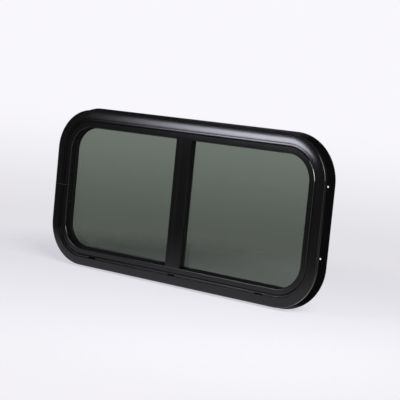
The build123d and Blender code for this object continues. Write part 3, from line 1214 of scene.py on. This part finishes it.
@dataclass
class DropBolt:
    """Latch housing, bolt with knob, and keeper with its screws; sizes in millimetres.

    The screw's head is given as (share of its radius, height), up its side and down into its recess.
    """

    body_round: float = 2.4
    body_edge: float = 0.8
    rod_radius: float = 3.0
    rod_play: float = 0.3
    rod_tip: float = 0.9
    rod_edge: float = 0.4
    slot_half: float = 2.05
    slot_rise: float = 25.0
    slot_reach: float = 10.1
    knob_rise: float = 19.0
    knob_radius: float = 3.5
    knob_waist: float = 1.75
    knob_length: float = 6.0
    knob_edges: Span = (0.6, 0.8)
    grip_start: float = 1.6
    grip_slope: float = 0.8
    grip_floor: float = 1.0
    grip_depth: float = 0.5
    keeper_plate: float = 2.0
    keeper_bend: float = 1.4
    screw_radius: float = 2.4
    screw_spread: float = 8.5
    screw_head: tuple[Span, ...] = (
        (0.0, -0.5), (1.0, -0.5), (1.0, 0.3), (0.8, 0.8), (0.35, 1.05), (0.3, 0.5), (0.0, 0.5),
    )

    def corners(self, node: str) -> tuple[Vector, Vector]:
        """Returns the lowest and highest corner of a node, in millimetres."""
        low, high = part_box(node)
        return low / MM, high / MM

    def rod_centre(self) -> Vector:
        """Returns the axis of the bolt at its foot."""
        low, high = self.corners("latch_bolt")
        return Vector(((low.x + high.x) / 2, low.y + self.rod_radius, low.z))

    def bore_tool(self, name: str, low: float, high: float) -> Workpiece:
        """Models the tool that bores a hole for the bolt.

        Args:
            name: name of the tool.
            low: level of its foot.
            high: level of its top.

        Returns:
            The tool.
        """
        rod = self.rod_centre()
        reach = self.rod_radius + self.rod_play
        profile = [(0.0, 0.0), (reach, 0.0), (reach, high - low), (0.0, high - low)]
        return Workpiece.turned(name, profile, Vector((rod.x, rod.y, low)), UP)

    def housing(self) -> None:
        """Models the latch body with its bore and the slot of the knob."""
        low, high = self.corners("latch_body")
        rod = self.rod_centre()
        plan = [
            Turn(low.x, low.y, Edge.KEEN),
            Turn(high.x, low.y, Edge.KEEN),
            Turn(high.x, high.y, self.body_round),
            Turn(low.x, high.y, self.body_round),
        ]
        body = LAYOUT.raise_upright("latch_housing", plan, low.z, high.z)
        body.soften((low.z, high.z), self.body_edge)
        length = high.z - low.z
        body.cut(self.bore_tool("bore_tool", low.z - length, high.z + length))
        middle = low.z + self.slot_rise
        outline = round_ended(self.slot_half, self.slot_reach)
        slot = [Vector((rod.x + x, rod.y, middle + z)) for x, z in outline]
        body.cut(Workpiece.block("slot_tool", slot, BACK * (high.y - low.y)))
        body.deliver(Slot.PLASTIC, "latch_body")

    def bolt(self) -> None:
        """Models the bolt with a chamfered tip, and its waisted knob."""
        low, high = self.corners("latch_bolt")
        foot = self.corners("latch_body")[0].z
        rod = self.rod_centre()
        radius = self.rod_radius
        length = high.z - low.z
        shaft = [
            (0.0, 0.0), (radius - self.rod_tip, 0.0), (radius, self.rod_tip),
            (radius, length - self.rod_edge), (radius - self.rod_edge, length), (0.0, length),
        ]
        piece = Workpiece.turned("drop_bolt", shaft, rod, UP)
        tip = high.y - rod.y
        head = tip - self.knob_length
        grip = head + self.grip_start
        floor = grip + self.grip_slope
        floor_end = floor + self.grip_floor
        knob, waist = self.knob_radius, self.knob_waist
        inner, outer = self.knob_edges
        handle = [
            (0.0, 0.0), (waist, 0.0), (waist, head), (knob - inner, head), (knob, head + inner),
            (knob, grip), (knob - self.grip_depth, floor), (knob - self.grip_depth, floor_end),
            (knob, floor_end + self.grip_slope), (knob, tip - outer), (knob - outer, tip), (0.0, tip),
        ]
        centre = Vector((rod.x, rod.y, foot + self.knob_rise))
        piece.join(Workpiece.turned("bolt_knob", handle, centre, BACK).piece)
        piece.deliver(Slot.PLASTIC, "latch_bolt")

    def keeper(self) -> None:
        """Models the keeper as a bent angle with a hole for the bolt and two screws."""
        low, high = self.corners("latch_keeper")
        plate = self.keeper_plate
        turns = [
            Turn(low.y, low.z, Edge.FINE),
            Turn(low.y, high.z, self.keeper_bend),
            Turn(high.y, high.z, Edge.ROUND),
            Turn(high.y, high.z - plate, Edge.ROUND),
            Turn(low.y + plate, high.z - plate, Edge.FINE),
            Turn(low.y + plate, low.z, Edge.FINE),
        ]
        side = [Vector((low.x, depth, z)) for depth, z in rounded(turns)]
        angle = Workpiece.block("keeper_angle", side, RIGHT * (high.x - low.x))
        angle.cut(self.bore_tool("keeper_tool", high.z - 3 * plate, high.z + plate))
        angle.deliver(Slot.ALUMINIUM, "latch_keeper")
        head = [(share * self.screw_radius, height) for share, height in self.screw_head]
        level = (low.z + high.z - plate) / 2
        place = Vector((self.rod_centre().x - self.screw_spread, low.y + plate, level))
        screw = Workpiece.turned("keeper_screws", head, place, BACK)
        screw.copies([RIGHT * 2 * self.screw_spread])
        screw.deliver(Slot.ALUMINIUM)

    def build(self) -> None:
        """Models housing, bolt and keeper."""
        self.housing()
        self.bolt()
        self.keeper()


def facing(place: Triple, aim: Triple) -> Quaternion:
    """Returns the turn of a light or camera that stands at a place and faces a point."""
    return (Vector(aim) - Vector(place)).to_track_quat("-Z", "Y")


@dataclass(frozen=True)
class Softbox:
    """A soft light of the studio.

    Attributes:
        name: name of the light.
        place: where it stands, in metres.
        aim: point that it faces.
        size: width and height.
        power: output in watts, before it fades.
        shade: colour of the light.
        fade: shares of its width over which it fades in from the left and out to the right.
        slant: how much further from the right it fades along its top than along its foot.
    """

    name: str
    place: Triple
    aim: Triple
    size: Span
    power: float
    shade: Triple = (1.0, 1.0, 1.0)
    fade: Span = (0.0, 0.0)
    slant: float = 0.0

    def build(self) -> None:
        """Adds the light to the scene."""
        lamp = bpy.data.lights.new(self.name, "AREA")
        lamp.shape = "RECTANGLE"
        lamp.size, lamp.size_y = self.size
        lamp.energy = self.power
        lamp.color = self.shade
        if any(self.fade):
            self.grade(lamp)
        holder = bpy.data.objects.new(self.name, lamp)
        holder.location = self.place
        holder.rotation_euler = facing(self.place, self.aim).to_euler()
        bpy.context.scene.collection.objects.link(holder)
        self.spare_panes(holder)

    def spare_panes(self, holder: bpy.types.Object) -> None:
        """Keeps the light's mirror image out of the panes, as a polarising filter does.

        Args:
            holder: the light's object.
        """
        spared = bpy.data.collections.new(self.name)
        for row in frame["record"]["subparts"]:
            if row["material_slot"] == Slot.GLASS.value:
                spared.objects.link(frame["nodes"][row["node"]])
        for entry in spared.collection_objects:
            entry.light_linking.link_state = "EXCLUDE"
        holder.light_linking.receiver_collection = spared

    def grade(self, lamp: bpy.types.Light) -> None:
        """Lets the light fade towards its left and right ends.

        Args:
            lamp: the light.
        """
        lamp.use_nodes = True
        wiring = Wiring(lamp.node_tree)
        spot = wiring.add("ShaderNodeNewGeometry")
        along = wiring.add("ShaderNodeSeparateXYZ", {"Vector": spot.outputs["Parametric"]}).outputs
        slanted = wiring.compute("MULTIPLY_ADD", along["Y"], self.slant, along["X"])
        left = wiring.ramp(along["X"], (0.0, self.fade[0]), smooth=True)
        right = wiring.ramp(slanted, (1.0, 1.0 - self.fade[1]), smooth=True)
        wiring.feed(lamp.node_tree.nodes["Emission"], {"Strength": wiring.compute("MULTIPLY", left, right)})


@dataclass(frozen=True)
class FloorPaint(Finish):
    """Pale paint that glows a little and fades out away from the window; distances in metres.

    Attributes:
        fade: distances between which the floor fades out.
        shade: its shade.
        rough: its roughness.
        gloss: level of the mirror-like share.
        tint: colour of its glow.
        glow: glow as the camera sees it.
        glow_near: distances in front of the window between which that glow fades out of mirror images.
        painted_glow_behind: glow as seen through a pane, lower than in direct sight as a painted shadow of
            the window, and what is added to that in the middle as a painted pool of light.
        painted_light_middle: distances to the side between which that painted light fades out.
    """

    fade: Span = (0.5, 1.05)
    shade: float = 0.45
    rough: float = 0.7
    gloss: float = 0.1
    tint: Triple = (1.0, 0.99, 1.07)
    glow: float = 0.55
    glow_near: Span = (0.0, 0.45)
    painted_glow_behind: Span = (0.11, 0.21)
    painted_light_middle: Span = (0.0, 0.5)

    def fall(self, wiring: Wiring, reach: Span, along: Vector) -> bpy.types.NodeSocket:
        """Adds a mask that falls from 1 to 0 away from the window.

        Args:
            wiring: wiring of the material.
            reach: distances between which it falls.
            along: weights of X, Y and Z in the distance.

        Returns:
            Socket of the mask.
        """
        place = wiring.add("ShaderNodeTexCoord").outputs["Object"]
        part = wiring.add("ShaderNodeVectorMath", {0: place, 1: along}, operation="MULTIPLY")
        away = wiring.add("ShaderNodeVectorMath", {0: part.outputs["Vector"]}, operation="LENGTH")
        return wiring.ramp(away.outputs["Value"], reach, (1.0, 0.0), smooth=True)

    def paint(self, wiring: Wiring, shader: bpy.types.Node) -> None:
        """Wires the glow for each kind of sight, and the fade.

        Args:
            wiring: wiring of the material.
            shader: its shader.
        """
        ray = wiring.add("ShaderNodeLightPath")
        glossy, passed = ray.outputs["Is Glossy Ray"], ray.outputs["Is Transmission Ray"]
        mirrored = wiring.compute("SUBTRACT", glossy, passed, clamp=True)
        near = self.fall(wiring, self.glow_near, BACK)
        middle = self.fall(wiring, self.painted_light_middle, RIGHT)
        through = wiring.through_pane(ray)
        glow = 0.0
        # Seen through a pane the floor glows less than in direct sight, a painted shadow of the window
        # behind it, and more near the middle, a painted pool of light.
        for sight, strength in (
            (ray.outputs["Is Camera Ray"], self.glow),
            (wiring.compute("MULTIPLY", mirrored, near), self.glow),
            (through, self.painted_glow_behind[0]),
            (wiring.compute("MULTIPLY", through, middle), self.painted_glow_behind[1]),
        ):
            glow = wiring.compute("MULTIPLY_ADD", sight, strength, glow)
        wiring.feed(shader, {
            "Base Color": (self.shade, self.shade, self.shade, 1.0),
            "Roughness": self.rough,
            "Specular IOR Level": self.gloss,
            "Emission Color": (*self.tint, 1.0),
            "Emission Strength": glow,
            "Alpha": self.fall(wiring, self.fade, RIGHT + BACK),
        })


@dataclass(frozen=True)
class Backdrop:
    """White backdrop to look at, darker towards its foot, and a dim room to be lit by.

    Attributes:
        slopes: lowest slope of sight, slope of the backdrop's foot and slope above which it is even.
        levels: brightness of the backdrop at these slopes; the dip at its foot is painted shade.
        behind: the same as seen through a pane, darker low down as a painted shadow of the window on the
            backdrop.
        tint: colour of the backdrop.
        room: light of the room round about.
        far_floor: colour of the far floor in mirror images.
        floor_ways: directions in which that floor shows, each by limits on the axes.
    """

    slopes: Triple = (-0.25, -0.125, -0.02)
    levels: Triple = (0.90, 0.76, 0.945)
    behind: Triple = (0.56, 0.50, 0.945)
    tint: Triple = (1.0, 0.985, 1.03)
    room: Triple = (0.08, 0.08, 0.083)
    far_floor: Triple = (1.0, 1.0, 1.0)
    floor_ways: tuple[tuple[tuple[str, Span], ...], ...] = (
        (("X", (0.8, 0.1)), ("Y", (0.1, 0.5)), ("Z", (-0.09, -0.16))),
        (("X", (0.10, 0.30)), ("Y", (-0.45, -0.75)), ("Z", (-0.02, -0.06))),
    )

    def floor_seen(self, wiring: Wiring, way: bpy.types.Node, passed: Source) -> bpy.types.NodeSocket:
        """Tells which rays go towards the far floor without having come through a pane.

        Args:
            wiring: wiring of the world.
            way: node that splits the ray's direction.
            passed: socket that is 1 for rays that came through a pane.

        Returns:
            Socket that is 1 for such rays.
        """
        masks = []
        for limits in self.floor_ways:
            mask = 1.0
            for axis, reach in limits:
                mask = wiring.ramp(way.outputs[axis], reach, (0.0, mask))
            masks.append(wiring.ramp(passed, (1.0, 0.0), (0.0, mask)))
        return wiring.compute("MAXIMUM", *masks)

    def sweep(self, wiring: Wiring, rise: Source, levels: Triple) -> bpy.types.NodeSocket:
        """Adds the backdrop's shades from its foot upwards.

        Args:
            wiring: wiring of the world.
            rise: slope of sight, from 0 for the lowest to 1 for level.
            levels: brightness at the three slopes.

        Returns:
            Socket of the shade.
        """
        node = wiring.add("ShaderNodeValToRGB", {"Fac": rise})
        node.color_ramp.interpolation = "EASE"
        places = [1.0 - slope / self.slopes[0] for slope in self.slopes]
        stops = node.color_ramp.elements
        stops.new(places[1])
        for stop, place, level in zip(stops, places, levels):
            stop.position = place
            stop.color = (*(level * share for share in self.tint), 1.0)
        return node.outputs["Color"]

    def build(self) -> None:
        """Makes the scene's world."""
        world = bpy.data.worlds.new("studio")
        bpy.context.scene.world = world
        world.use_nodes = True
        wiring = Wiring(world.node_tree)
        ray = wiring.add("ShaderNodeLightPath")
        place = wiring.add("ShaderNodeTexCoord")
        way = wiring.add("ShaderNodeSeparateXYZ", {"Vector": place.outputs["Generated"]})
        rise = wiring.ramp(way.outputs["Z"], (self.slopes[0], 0.0))
        mirrored = self.floor_seen(wiring, way, ray.outputs["Is Transmission Ray"])
        shade = wiring.mix(mirrored, (*self.room, 1.0), (*self.far_floor, 1.0))
        for sight, levels in (
            # the dip in these levels at the backdrop's foot is painted shade
            (ray.outputs["Is Camera Ray"], self.levels),
            # darker levels seen through a pane paint the window's shadow on the backdrop
            (wiring.through_pane(ray), self.behind),
        ):
            shade = wiring.mix(sight, shade, self.sweep(wiring, rise, levels))
        wiring.feed(world.node_tree.nodes["Background"], {"Color": shade})


@dataclass(frozen=True)
class Studio:
    """Pale floor that fades into a white backdrop, and soft lights.

    Attributes:
        floor_level: height of the floor, in metres.
        floor_radius: its radius.
        floor_sides: number of its sides.
        floor_paint: its paint.
        softboxes: lights.
        backdrop: backdrop and room.
    """

    floor_level: float
    floor_radius: float = 4.0
    floor_sides: int = 96
    floor_paint: FloorPaint = FloorPaint("pale studio floor")
    softboxes: tuple[Softbox, ...] = (
        Softbox("key", (1.83, -1.06, 1.25), (0.0, 0.1, -0.1), (1.5, 1.3), 38.0),
        Softbox("edge_light", (2.04, -1.74, 0.75), (0.36, 0.0, 0.12), (0.4, 1.1), 28.0),
        Softbox(
            "crown_strip", (-1.171, -2.237, 0.54), (0.2, 0.0, 0.18), (1.65, 0.36), 38.0,
            shade=(0.88, 0.88, 1.0), fade=(0.485, 0.22), slant=0.22,
        ),
    )
    backdrop: Backdrop = Backdrop()

    def floor(self) -> None:
        """Builds the round floor."""
        bpy.ops.object.select_all(action="DESELECT")
        bpy.ops.mesh.primitive_circle_add(
            vertices=self.floor_sides,
            radius=self.floor_radius,
            fill_type="NGON",
            location=UP * self.floor_level,
        )
        floor = bpy.context.object
        floor.name = "studio_floor"
        floor.data.materials.append(self.floor_paint.material())

    def build(self) -> None:
        """Builds floor, lights and backdrop."""
        self.floor()
        for softbox in self.softboxes:
            softbox.build()
        self.backdrop.build()
        bpy.context.scene.view_settings.view_transform = "Standard"


@dataclass
class Viewpoint:
    """Camera of the picture: where it stands, what it faces and how far it leans."""

    place: Triple = (1.70584, -2.29120, 0.28120)
    aim: Triple = (0.06049, 0.0, 0.01657)
    lean_deg: float = 5.589
    lens_mm: float = 108.0
    sensor_mm: float = 36.0

    def build(self) -> None:
        """Adds the camera and makes it the scene's own."""
        camera = bpy.data.cameras.new("picture")
        camera.lens = self.lens_mm
        camera.sensor_width = self.sensor_mm
        holder = bpy.data.objects.new("picture", camera)
        holder.rotation_mode = "QUATERNION"
        lean = Quaternion(UP, math.radians(self.lean_deg))
        holder.rotation_quaternion = facing(self.place, self.aim) @ lean
        holder.location = self.place
        bpy.context.scene.collection.objects.link(holder)
        bpy.context.scene.camera = holder


def main() -> None:
    """Dresses the window, then adds studio and camera."""
    logging.basicConfig(level=logging.INFO, format="%(name)s: %(message)s")
    for row in frame["record"]["subparts"]:
        dress(frame["nodes"][row["node"]], Slot(row["material_slot"]))
    for assembly in (OuterFrame(), ClampRing(), CentreMullion(), Seals(), SashStile(), DropBolt()):
        assembly.build()
    Studio(floor_level=CAD_BOX[0][2]).build()
    Viewpoint().build()


if __name__ == "__main__":
    main()
